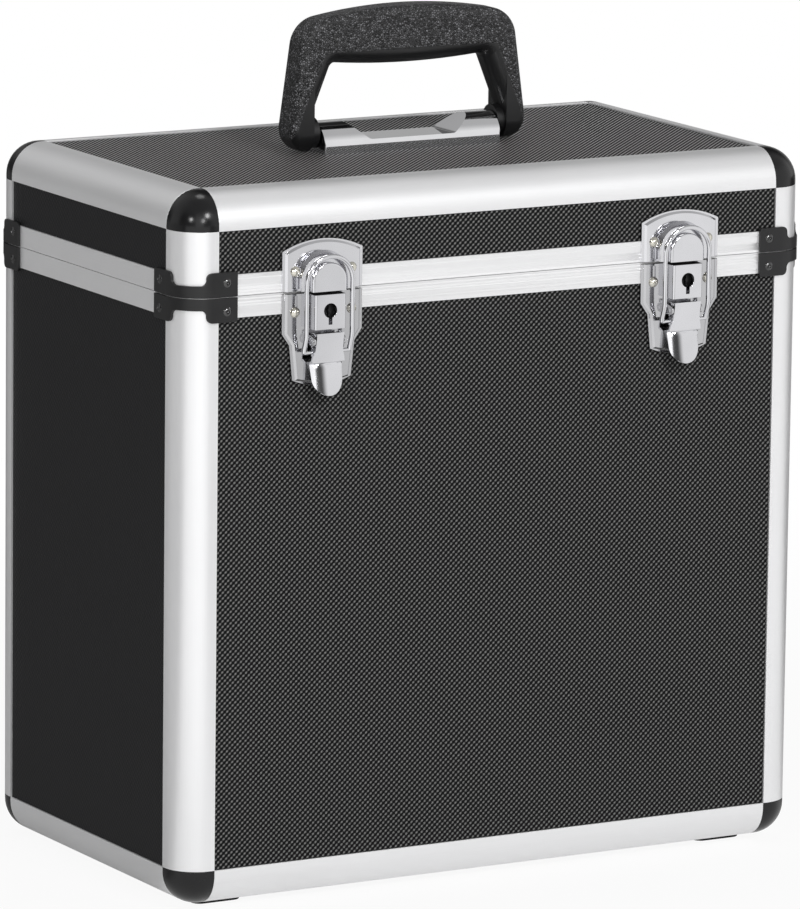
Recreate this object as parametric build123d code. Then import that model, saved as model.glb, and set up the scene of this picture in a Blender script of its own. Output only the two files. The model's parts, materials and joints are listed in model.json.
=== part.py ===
from build123d import *
import os
from math import atan2, degrees

os.makedirs("parts", exist_ok=True)

# A carrying case for twelve-inch records: panels held in aluminium edge profiles with ball
# corners, a lid on two rear hinges, two locking toggle latches and a folding handle.
# Millimetres. X runs across the front, Y from front to back, Z up. The origin is on the
# ground under the middle of the shell, and the front is at -Y.

# Shell
case_width = 380.0
case_depth = 218.0
case_height = 380.0          # shell alone, without feet and handle
lid_height = 54.7            # from the seam to the top of the shell
seam_gap = 0.3               # between base and lid when the case is shut
part_gap = 0.3               # between pieces that must not bind
cut_margin = 1.0             # how far a cutting tool runs past what it cuts

# Edge profile, ball corner, panels and lining
profile_leg = 20.3
profile_radius = 18.0
profile_wall = 1.2
profile_web = 1.4
corner_wall = 1.8
panel_thickness = 5.0
lining_thickness = 2.0
lining_corner_cut = 15.0     # clears the inside of a ball corner

# Belt profiles that close the edges at the seam
belt_height = 11.2
belt_cap = 4.0
tongue_width = 1.6
tongue_height = 2.0
groove_clearance = 0.4
tongue_end_gap = 3.0

# Seam brackets, one round each corner on both sides of the seam
bracket_wall = 1.5
bracket_reach = 30.7         # from the corner to the end of a tab
bracket_tab_start = 13.1     # from the corner to the start of a tab
bracket_tab_height = 13.0
bracket_strap_height = 6.3
bracket_seam_inset = 0.2
bracket_round = 3.0
bracket_corner_round = 1.3
bracket_rivet_reach = 24.7   # from the corner
bracket_rivet_drop = 7.4     # from the seam
bracket_rivet_radius = 2.5
bracket_rivet_height = 0.9
bracket_rivet_dimple = 0.9   # radius of the hollow in the head

# Rivets in general
shank_radius = 1.4
shank_clearance = 0.1
tail_radius = 2.2
tail_height = 0.9

# Feet
foot_height = 3.0
foot_length = 28.0
foot_width = 24.0
foot_round = 5.0
foot_side_gap = 0.5          # between a foot and the lip of the side profile
foot_front_gap = 1.5         # and the lip of the front or back one
foot_screw_radius = 1.6
foot_screw_length = 6.0
foot_screw_head_radius = 3.2
foot_screw_head_height = 1.4
foot_screw_recess = 1.2

# Rear hinges
hinge_inset = 80.0           # from the side of the shell to the middle of a hinge
hinge_width = 56.0
hinge_leaf_wall = 1.2
hinge_leaf_height = 10.8
hinge_barrel_radius = 2.8
hinge_barrel_standoff = 0.5  # daylight between the barrel and the belts
hinge_pin_radius = 1.3
hinge_pin_clearance = 0.05
hinge_pin_head = 0.6
hinge_knuckles = 5
hinge_swing_gap = 0.4
hinge_rivet_drop = 6.9       # from the seam
hinge_rivet_pitch = 20.0
hinge_rivet_radius = 2.0
hinge_rivet_height = 0.8

# Latches, heights from the seam and stand-off from the front of the belts
latch_inset = 81.0           # from the side of the shell to the middle of a latch
latch_half = 23.8
latch_flange = 0.8
latch_face = 2.0
latch_rim = 1.5
latch_bevel = 1.1
catch_bottom = 0.3
catch_corner = 21.3
catch_apex = 27.0
boss_radius = 15.4
boss_centre = 5.7
boss_face = 5.0
boss_taper = 20.0
catch_radius = 9.4
catch_centre = 6.1
catch_face = 9.3
catch_round = 1.2
plate_top = -1.1
plate_kink = -22.0
plate_shoulder = -28.3
plate_shoulder_half = 19.4
plate_foot = -46.9
plate_foot_half = 17.4
plate_apex = -50.5
latch_rivet_half = 16.8
latch_rivet_rise = 10.8
latch_rivet_radius = 2.9
latch_rivet_height = 2.1
latch_rivet_relief = 0.3
slot_width = 3.0
slot_height = 6.0
slot_depth = 0.8

# Lock
lock_half = 9.2
lock_top = -1.3
lock_bottom = -19.6
lock_face = 10.0
lock_wall = 1.0
lock_round = 1.2
keyhole_centre = -9.8
keyhole_radius = 3.9
keyhole_slot_width = 2.2
keyhole_slot_bottom = -17.2
core_radius = 4.6
core_back = 3.4
core_face = 6.4
core_slot_width = 1.6
core_slot_depth = 1.2
core_stem_radius = 1.2
core_stem_back = 0.4
core_post_radius = 0.7
core_post_face = 8.4
cam_reach = 7.0
cam_width = 3.2
cam_wall = 1.4
running_clearance = 0.06

# Lever
lever_pivot = -25.8
lever_pivot_out = 7.5
lever_wall = 1.2
lever_top = -21.6
lever_top_out = 10.6
lever_bend = -37.6
lever_bend_out = 7.7
lever_neck_half = 8.0
lever_neck_bottom = -30.8
lever_tab_half = 9.7
lever_tip = -54.8
lever_tab_crown = 30.0       # radius across the finger tab
lever_tab_crown_out = 8.3
lever_tab_tilt = 8.0
lever_cheek_wall = 1.2
lever_cheek_back = 4.6
lever_cheek_bottom = -34.3
lever_pin_radius = 1.0
ear_wall = 1.2
ear_gap = 0.3
ear_radius = 2.4

# Hoop
hoop_pivot = -31.8
hoop_pivot_out = 6.2
hoop_outer = 13.5
hoop_inner = 10.3
hoop_centre = 6.6
hoop_wall = 2.4
hoop_back = 9.7
hoop_bend_top = -18.5
hoop_leg_end = 3.0           # below the pivot
hoop_round = 0.7
hoop_pin_radius = 1.0
hoop_pin_reach = 6.7

# Handle and its bracket
bracket_half_length = 54.0
saddle_radius = 12.5
saddle_height = 16.0
saddle_wall = 1.6
saddle_end_wall = 3.0
saddle_end_round = 1.0       # seen from above
trough_half = 26.0
trough_top_half = 38.0
trough_height = 6.8
trough_round = 4.0
handle_boss_radius = 4.5
handle_screw_spread = 44.0
handle_screw_radius = 2.0
handle_screw_bite = 8.0
handle_screw_head_radius = 4.0
handle_screw_head_height = 2.4
handle_pivot_rise = 10.7     # above the top panel
pivot_pin_radius = 2.5
pivot_pin_reach = 12.0       # into each leg
grip_clearance = 0.8         # between a leg's boss and the bracket
grip_boss_length = 4.4       # from the leg towards the bracket
grip_boss_radius = 8.4
grip_boss_sink = 5.0         # into the leg
grip_leg_width = 15.0        # at the heel
grip_shoulder_inset = 9.8    # from the heel's outside to the shoulder
grip_shoulder_rise = 59.5    # heights from the pivot
grip_top_rise = 66.5
grip_inner_inset = 12.4      # from the foot of the opening to its top corner
grip_inner_rise = 37.6
grip_belly_rise = 35.2
grip_leg_rise = 7.2          # where the inner faces start to lean in
grip_heel_round = 12.5
grip_shoulder_round = 17.0
grip_inner_round = 4.0
grip_thickness = 20.0
grip_edge_round = 5.0
grip_finger_round = 8.0      # under the bar and inside the legs

# Worked-out places
half_width = case_width / 2
half_depth = case_depth / 2
shell_bottom = foot_height
shell_top = shell_bottom + case_height
seam_z = shell_top - lid_height
base_tub = case_height - lid_height - seam_gap / 2
lid_tub = lid_height - seam_gap / 2
panel_outer = profile_wall
panel_inner = panel_outer + panel_thickness
flange_inner = panel_inner + profile_wall
panel_edge = profile_radius + part_gap
panel_top_z = shell_top - panel_outer
hinge_axis_y = half_depth + hinge_barrel_standoff + hinge_barrel_radius
handle_pivot_z = panel_top_z + handle_pivot_rise
latch_spread = half_width - latch_inset
hinge_spread = half_width - hinge_inset
grip_boss_inner = bracket_half_length + grip_clearance
grip_leg_inner = grip_boss_inner + grip_boss_length
grip_half = grip_leg_inner + grip_leg_width
grip_shoulder_half = grip_half - grip_shoulder_inset
grip_inner_half = grip_leg_inner - grip_inner_inset
corner_signs = [(-1, -1), (1, -1), (1, 1), (-1, 1)]
latch_sides = {"left": -1, "right": 1}

# A wall is made as the front one, with its span and its distance from the middle, and is
# then turned to its place about Z.
walls = {
    "front": (case_width, case_depth, 0),
    "back": (case_width, case_depth, 180),
    "left": (case_depth, case_width, -90),
    "right": (case_depth, case_width, 90),
}


def block(x0, x1, y0, y1, z0, z1):
    centre = Pos((x0 + x1) / 2, (y0 + y1) / 2, (z0 + z1) / 2)
    return centre * Box(x1 - x0, y1 - y0, z1 - z0)


def save(node, pieces):
    solids = [solid for piece in pieces for solid in piece.solids()]
    group = solids[0] if len(solids) == 1 else Compound(children=solids)
    group.label = node
    export_step(group, f"parts/{node}.step")


# Base and lid are both tubs: height runs from 0 at the closed face to the seam.
def base_place(piece):
    return Pos(0, 0, shell_bottom) * piece


def lid_place(piece):
    return Pos(0, 0, shell_top) * mirror(piece, about=Plane.XY)


def turned(name, piece):
    return Rot(0, 0, walls[name][2]) * piece


def quadrants(piece):
    copies = []
    for sign_x, sign_y in corner_signs:
        copy = piece
        if sign_x > 0:
            copy = mirror(copy, about=Plane.YZ)
        if sign_y > 0:
            copy = mirror(copy, about=Plane.XZ)
        copies.append(copy)
    return copies


def corner_square(start, size, radius):
    # a square whose corner at (start, start) is rounded
    square = Pos(start, start) * Rectangle(size, size, align=(Align.MIN, Align.MIN))
    nearest = square.vertices().sort_by(lambda v: v.X + v.Y)[0]
    return fillet(nearest, radius)


def edge_section():
    # rounded skin, inner angle and the two webs that stop the panels
    skin = corner_square(0, profile_leg, profile_radius)
    skin -= corner_square(profile_wall, profile_leg, profile_radius - profile_wall)
    angle_size = profile_leg - panel_inner
    corner = (Align.MIN, Align.MIN)
    angle = Pos(panel_inner, panel_inner) * Rectangle(angle_size, angle_size, align=corner)
    angle -= Pos(flange_inner, flange_inner) * Rectangle(profile_leg, profile_leg, align=corner)
    web_start = profile_radius - profile_web
    web_base = profile_wall / 2
    web_long = panel_inner + profile_wall / 2 - web_base
    web = Pos(web_start, web_base) * Rectangle(profile_web, web_long, align=corner)
    web += Pos(web_base, web_start) * Rectangle(web_long, profile_web, align=corner)
    return skin + angle + web


def upright_edge(tub_height):
    length = tub_height - profile_leg
    start = Pos(-half_width, -half_depth, profile_leg)
    return start * extrude(edge_section(), length)


def lying_edge(span, depth):
    length = span - 2 * profile_leg
    origin = (-length / 2, -depth / 2, 0)
    plane = Plane(origin=origin, x_dir=(0, 1, 0), z_dir=(1, 0, 0))
    return extrude(plane * edge_section(), length)


def rounded_cube(start, size, radius):
    low = (Align.MIN, Align.MIN, Align.MIN)
    cube = Pos(start, start, start) * Box(size, size, size, align=low)
    corner = Vector(start, start, start)
    near = [e for e in cube.edges() if any((Vector(v.X, v.Y, v.Z) - corner).length < 0.001
                                           for v in e.vertices())]
    return fillet(near, radius)


def ball_corner():
    shell = rounded_cube(0, profile_leg, profile_radius)
    shell -= rounded_cube(corner_wall, profile_leg, profile_radius - corner_wall)
    return Pos(-half_width, -half_depth, 0) * shell


def wall_panel(span, depth, tub_height):
    half = span / 2 - panel_edge
    front = -depth / 2
    top = tub_height - belt_cap
    panel = block(-half, half, front + panel_outer, front + panel_inner, panel_edge, top)
    notch_x = span / 2 - profile_leg
    for sign in (-1, 1):
        notch = block(notch_x, span, front - cut_margin, front + profile_leg, 0, profile_leg)
        panel -= notch if sign > 0 else mirror(notch, about=Plane.YZ)
    return panel


def floor_panel():
    half_x = half_width - panel_edge
    half_y = half_depth - panel_edge
    panel = block(-half_x, half_x, -half_y, half_y, panel_outer, panel_inner)
    notch = block(-half_width, profile_leg - half_width, -half_depth,
                  profile_leg - half_depth, -cut_margin, profile_leg)
    for cut in quadrants(notch):
        panel -= cut
    return panel


def belt(span, depth, tub_height, joint):
    # channel over the panel's edge, with a tongue or a groove on its seam face
    half = span / 2 - profile_leg
    front = -depth / 2
    low = tub_height - belt_height
    rail = block(-half, half, front, front + flange_inner, low, tub_height)
    rail -= block(-half - cut_margin, half + cut_margin, front + panel_outer,
                  front + panel_inner, low - cut_margin, tub_height - belt_cap)
    middle = front + flange_inner / 2
    if joint == "tongue":
        side = tongue_width / 2
        rail += block(tongue_end_gap - half, half - tongue_end_gap, middle - side,
                      middle + side, tub_height - profile_wall, tub_height + tongue_height)
    if joint == "groove":
        side = tongue_width / 2 + groove_clearance
        rail -= block(-half - cut_margin, half + cut_margin, middle - side, middle + side,
                      tub_height - tongue_height - groove_clearance, tub_height + cut_margin)
    return rail


def wall_lining(span, depth, tub_height):
    # stands on the floor lining and stops under the belt; side walls fit between the others
    overlap = 0 if depth == case_depth else lining_thickness
    half = span / 2 - flange_inner - overlap
    front = -depth / 2 + flange_inner
    low = flange_inner + lining_thickness
    high = tub_height - max(belt_height, latch_rivet_rise + tail_radius) - part_gap
    return block(-half, half, front, front + lining_thickness, low, high)


def corner_cuts():
    # clears the lining away from the inside of the ball corners
    cut = block(-half_width, lining_corner_cut - half_width, -half_depth,
                lining_corner_cut - half_depth, 0, lining_corner_cut)
    return quadrants(cut)


def floor_lining():
    half_x = half_width - flange_inner
    half_y = half_depth - flange_inner
    return block(-half_x, half_x, -half_y, half_y, flange_inner,
                 flange_inner + lining_thickness)


def bracket_mask(tub_height):
    # side view of a seam bracket: a low strap round the corner and a taller tab
    top = tub_height - bracket_seam_inset
    tab_low = tub_height - bracket_tab_height
    strap_low = tub_height - bracket_strap_height
    outline = Polyline(
        (-bracket_wall - cut_margin, top),
        (-bracket_wall - cut_margin, strap_low),
        (bracket_tab_start, strap_low),
        (bracket_tab_start, tab_low),
        (bracket_reach, tab_low),
        (bracket_reach, top),
        close=True,
    )
    mask = make_face(outline)
    bends = [v for v in mask.vertices() if abs(v.X - bracket_tab_start) < 0.01]
    mask = fillet(bends, bracket_round)
    corner = [v for v in mask.vertices()
              if v.X > bracket_reach - 0.01 and v.Y < tab_low + 0.01]
    return fillet(corner, bracket_corner_round)


def seam_bracket(tub_height):
    band = corner_square(-bracket_wall, bracket_reach + bracket_wall,
                         profile_radius + bracket_wall)
    band -= corner_square(0, bracket_reach + cut_margin, profile_radius)
    band = extrude(band, tub_height)
    through = profile_radius / 2 + bracket_wall
    upright = Plane(origin=(0, profile_radius / 2, 0), x_dir=(1, 0, 0), z_dir=(0, -1, 0))
    front_mask = extrude(upright * bracket_mask(tub_height), through + cut_margin)
    diagonal = Plane(origin=(0, 0, 0), x_dir=(1, 1, 0), z_dir=(1, -1, 0))
    side_mask = mirror(front_mask, about=diagonal)
    bracket = band & (front_mask + side_mask)
    bracket = Pos(-half_width, -half_depth, 0) * bracket
    for cut in bracket_drills(tub_height, shank_radius + shank_clearance):
        bracket -= cut
    return bracket


def front_plane(x, z):
    # local X across, local Y up, local Z out of the front
    return Plane(origin=(x, -half_depth, z), x_dir=(1, 0, 0), z_dir=(0, -1, 0))


def side_plane(y, z):
    # the same on the left wall
    return Plane(origin=(-half_width, y, z), x_dir=(0, -1, 0), z_dir=(-1, 0, 0))


def drill(plane, radius, outward, inward):
    # a round cutter along the plane's normal
    bit = Pos(0, 0, -inward) * Cylinder(radius, outward + inward,
                                        align=(Align.CENTER, Align.CENTER, Align.MIN))
    return plane.location * bit


def rivet(seat, head_radius, head_height, dimple=0.0):
    # domed head on the seat, shank through the wall and a flat tail inside
    ball = (head_radius**2 + head_height**2) / (2 * head_height)
    head = Pos(0, 0, seat + head_height - ball) * Sphere(ball)
    head &= Pos(0, 0, seat) * Cylinder(head_radius, head_height + cut_margin,
                                       align=(Align.CENTER, Align.CENTER, Align.MIN))
    upright = (Align.CENTER, Align.CENTER, Align.MIN)
    shank = Pos(0, 0, -flange_inner) * Cylinder(shank_radius, flange_inner + seat, align=upright)
    tail = Pos(0, 0, -flange_inner - tail_height) * Cylinder(tail_radius, tail_height,
                                                             align=upright)
    piece = head + shank + tail
    if dimple > 0:
        piece -= Pos(0, 0, seat + head_height) * Sphere(dimple)
    return piece


def bracket_rivet_planes(tub_height):
    height = tub_height - bracket_rivet_drop
    return [front_plane(bracket_rivet_reach - half_width, height),
            side_plane(bracket_rivet_reach - half_depth, height)]


def bracket_drills(tub_height, radius):
    return [drill(plane, radius, bracket_wall + cut_margin, flange_inner + cut_margin)
            for plane in bracket_rivet_planes(tub_height)]


def bracket_rivets(tub_height):
    stud = rivet(bracket_wall, bracket_rivet_radius, bracket_rivet_height, bracket_rivet_dimple)
    pieces = []
    for plane in bracket_rivet_planes(tub_height):
        pieces += quadrants(plane.location * stud)
    return pieces


def latch_rivet_planes(rise):
    return [front_plane(side * latch_spread + place * latch_rivet_half, seam_z + rise)
            for side in latch_sides.values() for place in (-1, 1)]


def hinge_plane(x, z):
    # local X across, local Y up, local Z out of the back
    return Plane(origin=(x, half_depth, z), x_dir=(-1, 0, 0), z_dir=(0, 1, 0))


def hinge_rivet_planes(rise):
    return [hinge_plane(side * hinge_spread + step * hinge_rivet_pitch, seam_z + rise)
            for side in (-1, 1) for step in (-1, 0, 1)]


def drilled(piece, planes):
    for plane in planes:
        piece -= drill(plane, shank_radius + shank_clearance, latch_face + cut_margin,
                       flange_inner + cut_margin)
    return piece


def shell_pieces(prefix, tub_height, place, upward):
    # the panels, belts, edges, corners and brackets of one tub; upward is +1 on the lid
    bracket_cuts = []
    for cut in bracket_drills(tub_height, shank_radius + shank_clearance):
        bracket_cuts += quadrants(cut)
    latch_planes = latch_rivet_planes(upward * latch_rivet_rise)
    hinge_planes = hinge_rivet_planes(upward * hinge_rivet_drop)
    joint = "groove" if prefix == "lid" else "tongue"
    for name, (span, depth, _) in walls.items():
        panel = turned(name, wall_panel(span, depth, tub_height))
        rail = turned(name, belt(span, depth, tub_height, None if name == "back" else joint))
        for cut in bracket_cuts:
            panel -= cut
            rail -= cut
        panel = place(panel)
        rail = place(rail)
        planes = latch_planes if name == "front" else hinge_planes if name == "back" else []
        save(f"{prefix}_{name}_panel", [drilled(panel, planes)])
        save(f"{prefix}_{name}_belt", [drilled(rail, planes)])
    save(f"{prefix}_upright_edges", [place(e) for e in quadrants(upright_edge(tub_height))])
    save(f"{prefix}_ball_corners", [place(c) for c in quadrants(ball_corner())])
    save(f"{prefix}_seam_brackets", [place(b) for b in quadrants(seam_bracket(tub_height))])
    save(f"{prefix}_bracket_rivets", [place(r) for r in bracket_rivets(tub_height)])
    stud = rivet(latch_face, latch_rivet_radius, latch_rivet_height)
    save(f"{prefix}_latch_rivets", [plane.location * stud for plane in latch_planes])
    stud = rivet(hinge_leaf_wall, hinge_rivet_radius, hinge_rivet_height)
    save(f"{prefix}_hinge_rivets", [plane.location * stud for plane in hinge_planes])


def base_edges():
    return [base_place(turned(name, lying_edge(span, depth)))
            for name, (span, depth, _) in walls.items()]


def lid_edge(name):
    span, depth, _ = walls[name]
    return lid_place(turned(name, lying_edge(span, depth)))


def lining(tub_height, place, floor):
    sheets = [floor] + [turned(name, wall_lining(span, depth, tub_height))
                        for name, (span, depth, _) in walls.items()]
    pieces = []
    for sheet in sheets:
        for cut in corner_cuts():
            sheet -= cut
        pieces.append(place(sheet))
    return pieces


def foot_centre():
    return (profile_leg + foot_side_gap + foot_length / 2 - half_width,
            profile_leg + foot_front_gap + foot_width / 2 - half_depth)


def foot():
    # pad on the recessed floor panel
    x, y = foot_centre()
    outline = fillet(Rectangle(foot_length, foot_width).vertices(), foot_round)
    pad = extrude(outline, foot_height + panel_outer)
    head_top = foot_screw_recess + foot_screw_head_height
    upright = (Align.CENTER, Align.CENTER, Align.MIN)
    pad -= Cylinder(foot_screw_head_radius + shank_clearance, head_top, align=upright)
    pad -= Cylinder(foot_screw_radius + shank_clearance, foot_height + profile_leg,
                    align=upright)
    return Pos(x, y, 0) * pad


def foot_screw():
    x, y = foot_centre()
    upright = (Align.CENTER, Align.CENTER, Align.MIN)
    screw = Pos(0, 0, foot_screw_recess) * Cylinder(foot_screw_head_radius,
                                                    foot_screw_head_height, align=upright)
    head_top = foot_screw_recess + foot_screw_head_height
    screw += Pos(0, 0, head_top) * Cylinder(foot_screw_radius, foot_screw_length, align=upright)
    return Pos(x, y, 0) * screw


def bottom_panel():
    x, y = foot_centre()
    panel = floor_panel()
    hole = Pos(x, y, 0) * Cylinder(foot_screw_radius + shank_clearance, 2 * profile_leg)
    for cut in quadrants(hole):
        panel -= cut
    return base_place(panel)


def handle_screw_places():
    return [(sign * handle_screw_spread, 0) for sign in (-1, 1)]


def top_panel():
    panel = lid_place(floor_panel())
    for x, y in handle_screw_places():
        panel -= Pos(x, y, panel_top_z) * Cylinder(handle_screw_radius + shank_clearance,
                                                   2 * profile_leg)
    return panel


def lid_lining():
    top = floor_lining()
    for x, y in handle_screw_places():
        top -= Pos(x, y, 0) * Cylinder(handle_screw_head_radius + cut_margin, 2 * profile_leg)
    return lining(lid_tub, lid_place, top)


def hinge_leaf(upward):
    # plate on the belt and every second knuckle of the barrel; upward is +1 on the lid
    top = hinge_leaf_height if upward > 0 else -seam_gap
    low = seam_gap if upward > 0 else -hinge_leaf_height
    half = hinge_width / 2
    leaf = block(-half, half, half_depth, half_depth + hinge_leaf_wall, seam_z + low,
                 seam_z + top)
    knuckle = hinge_width / hinge_knuckles
    web_end = hinge_leaf_height / 2
    for index in range(hinge_knuckles):
        start = index * knuckle - half
        own = (index % 2 == 0) == (upward < 0)
        middle = Pos(start + knuckle / 2, hinge_axis_y, seam_z) * Rot(0, 90, 0)
        if own:
            length = knuckle - part_gap
            barrel = middle * Cylinder(hinge_barrel_radius, length)
            web_z = sorted((seam_z + upward * seam_gap, seam_z + upward * web_end))
            web = block(start + part_gap / 2, start + knuckle - part_gap / 2, half_depth,
                        hinge_axis_y, web_z[0], web_z[1])
            reach = middle * Cylinder(hinge_barrel_radius + hinge_leaf_wall / 2, length)
            leaf += barrel + (web & reach)
        else:
            leaf -= middle * Cylinder(hinge_barrel_radius + hinge_swing_gap, knuckle + part_gap)
    leaf -= Pos(0, hinge_axis_y, seam_z) * Rot(0, 90, 0) * Cylinder(
        hinge_pin_radius + hinge_pin_clearance, hinge_width + cut_margin)
    return leaf


def hinge_leaves(upward):
    leaves = []
    for side in (-1, 1):
        leaf = Pos(side * hinge_spread, 0, 0) * hinge_leaf(upward)
        leaves.append(drilled(leaf, hinge_rivet_planes(upward * hinge_rivet_drop)))
    return leaves


def hinge_pins():
    pins = []
    for side in (-1, 1):
        place = Pos(side * hinge_spread, hinge_axis_y, seam_z) * Rot(0, 90, 0)
        pin = Cylinder(hinge_pin_radius, hinge_width)
        for end in (-1, 1):
            reach = end * (hinge_width + hinge_pin_head) / 2
            pin += Pos(0, 0, reach) * Cylinder(hinge_barrel_radius * 0.8, hinge_pin_head)
        pins.append(place * pin)
    return pins


def latch_plane(side, out=0.0):
    # local X across the latch, local Y up from the seam, local Z out of the front
    origin = (latch_sides[side] * latch_spread, -half_depth - out, seam_z)
    return Plane(origin=origin, x_dir=(1, 0, 0), z_dir=(0, -1, 0))


def arch(half, centre, bottom):
    # straight sides and a half-round top
    outline = Pos(0, (centre + bottom) / 2) * Rectangle(2 * half, centre - bottom)
    return outline + Pos(0, centre) * Circle(half)


def catch_outline(half, corner, apex, bottom):
    sides = Polyline((-half, corner), (-half, bottom), (half, bottom), (half, corner))
    top = ThreePointArc((half, corner), (0, apex), (-half, corner))
    return make_face(Curve() + [sides, top])


def latch_slot(place, low):
    return Pos(place * latch_rivet_half, low + slot_height / 2, latch_face) * Box(
        slot_width, slot_height, 2 * slot_depth)


def catch(side):
    # pressed plate on the lid with a stepped boss and the catch that the hoop closes over
    below = catch_bottom - latch_rim - latch_face
    plate = extrude(catch_outline(latch_half, catch_corner, catch_apex, catch_bottom),
                    latch_flange)
    rise = latch_face - latch_flange
    tray = catch_outline(latch_half - latch_rim, catch_corner - latch_rim / 2,
                         catch_apex - latch_rim / 2, below)
    tray = extrude(Plane.XY.offset(latch_flange) * tray, rise)
    plate += chamfer(tray.faces().sort_by(Axis.Z)[-1].edges(), latch_bevel)
    boss = extrude(Plane.XY.offset(latch_face) * arch(boss_radius, boss_centre, below),
                   boss_face - latch_face, taper=boss_taper)
    for place in (-1, 1):
        spot = Pos(place * latch_rivet_half, latch_rivet_rise, latch_face)
        relief = latch_rivet_radius + latch_rivet_relief
        boss -= spot * Cylinder(relief, 2 * boss_face)
        plate -= latch_slot(place, catch_bottom + cut_margin)
    plate += boss
    tongue = extrude(Plane.XY.offset(latch_face) * arch(catch_radius, catch_centre, below),
                     catch_face - latch_face)
    rim = tongue.faces().sort_by(Axis.Z)[-1].edges()
    plate += fillet(rim, catch_round)
    plate -= block(-case_width, case_width, below - latch_half, catch_bottom, -cut_margin,
                   2 * catch_face)
    piece = latch_plane(side).location * plate
    return drilled(piece, latch_rivet_planes(latch_rivet_rise))


def plate_outline(inset, top):
    half = latch_half - inset
    shoulder = plate_shoulder_half - inset
    foot_half = plate_foot_half - inset
    sides = Polyline((foot_half, plate_foot), (shoulder, plate_shoulder), (half, plate_kink),
                     (half, top), (-half, top), (-half, plate_kink),
                     (-shoulder, plate_shoulder), (-foot_half, plate_foot))
    bottom = ThreePointArc((-foot_half, plate_foot), (0, plate_apex + inset),
                           (foot_half, plate_foot))
    return make_face(Curve() + [sides, bottom])


def ear(place):
    # upright cheek of the base plate that carries the lever's pin
    start = lever_neck_half + ear_gap
    foot_out = latch_face / 2
    upright = block(start, start + ear_wall, lever_pivot - ear_radius, lever_pivot + ear_radius,
                    foot_out, lever_pivot_out)
    upright += Pos(start + ear_wall / 2, lever_pivot, lever_pivot_out) * Rot(0, 90, 0) * Cylinder(
        ear_radius, ear_wall)
    return upright if place > 0 else mirror(upright, about=Plane.YZ)


def latch_plate(side):
    # pressed plate on the base with the lever's two ears
    above = plate_top + latch_rim + latch_face
    plate = extrude(plate_outline(0, plate_top), latch_flange)
    rise = latch_face - latch_flange
    tray = extrude(Plane.XY.offset(latch_flange) * plate_outline(latch_rim, above), rise)
    plate += chamfer(tray.faces().sort_by(Axis.Z)[-1].edges(), latch_bevel)
    for place in (-1, 1):
        plate -= latch_slot(place, plate_top - cut_margin - slot_height)
        plate += ear(place)
    plate -= block(-case_width, case_width, plate_top, above + latch_half, -cut_margin,
                   2 * latch_face)
    pin_hole = Pos(0, lever_pivot, lever_pivot_out) * Rot(0, 90, 0)
    plate -= pin_hole * Cylinder(lever_pin_radius + running_clearance, 2 * latch_half)
    plate -= Pos(0, keyhole_centre, 0) * Cylinder(core_stem_radius + running_clearance,
                                                  3 * latch_face)
    piece = latch_plane(side).location * plate
    return drilled(piece, latch_rivet_planes(-latch_rivet_rise))


def lock_housing(side):
    # box open to the back and at its foot, with the keyhole in its face
    shell = block(-lock_half, lock_half, lock_bottom, lock_top, latch_face, lock_face)
    front = shell.faces().sort_by(Axis.Z)[-1]
    shell = fillet(front.edges().filter_by(Axis.Y), lock_round)
    inner = lock_half - lock_wall
    shell -= block(-inner, inner, lock_bottom - cut_margin, lock_top - lock_wall,
                   latch_face - cut_margin, lock_face - lock_wall)
    shell += block(-inner, inner, lock_bottom, lock_bottom + lock_wall, latch_face,
                   lever_pivot_out - lever_wall)
    hole = Circle(keyhole_radius)
    slot_length = keyhole_centre - keyhole_slot_bottom
    hole = Pos(0, keyhole_centre) * (
        hole + Pos(0, -slot_length / 2) * Rectangle(keyhole_slot_width, slot_length))
    shell -= Pos(0, 0, core_face) * extrude(hole, lock_face)
    return latch_plane(side).location * shell


def lock_core(side):
    # turning core with its stem in the base plate, a centre post for the key and a cam
    upright = (Align.CENTER, Align.CENTER, Align.MIN)
    core = Pos(0, 0, core_back) * Cylinder(core_radius, core_face - core_back, align=upright)
    core -= Pos(0, 0, core_face) * Box(core_slot_width, 2 * core_radius, 2 * core_slot_depth)
    core += Pos(0, 0, core_stem_back) * Cylinder(core_stem_radius, core_back - core_stem_back,
                                                 align=upright)
    core += Pos(0, 0, core_back) * Cylinder(core_post_radius, core_post_face - core_back,
                                            align=upright)
    core += block(-cam_width / 2, cam_width / 2, 0, cam_reach, core_back, core_back + cam_wall)
    return latch_plane(side).location * (Pos(0, keyhole_centre, 0) * core)


# A side view is drawn with its first coordinate out of the front and its second one up.
side_view = Plane(origin=(0, 0, 0), x_dir=(0, 0, 1), z_dir=(-1, 0, 0))


def across(sketch, half):
    # a side view given a width to both sides of the latch's middle
    return extrude(side_view * sketch, half, both=True)


def lever_neck():
    run = lever_top - lever_bend
    slope = (lever_top_out - lever_bend_out) / run
    foot = lever_bend - lever_wall
    foot_out = lever_bend_out - slope * lever_wall
    band = make_face(Polyline(
        (lever_top_out, lever_top), (foot_out, foot), (foot_out - lever_wall, foot),
        (lever_top_out - lever_wall, lever_top), close=True))
    return across(band, latch_half)


def lever_tab():
    # crowned finger tab: a slice of a tube that leans out towards its tip
    outer = Cylinder(lever_tab_crown, 3 * latch_half)
    outer -= Cylinder(lever_tab_crown - lever_wall, 4 * latch_half)
    tube = Rot(90, 0, 0) * outer
    lean = Pos(0, lever_bend, lever_tab_crown_out) * Rot(-lever_tab_tilt, 0, 0)
    tube = lean * (Pos(0, 0, -lever_tab_crown) * tube)
    tube &= block(-latch_half, latch_half, 2 * lever_tip, lever_bend, 0, 2 * lever_tab_crown)
    return tube


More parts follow.
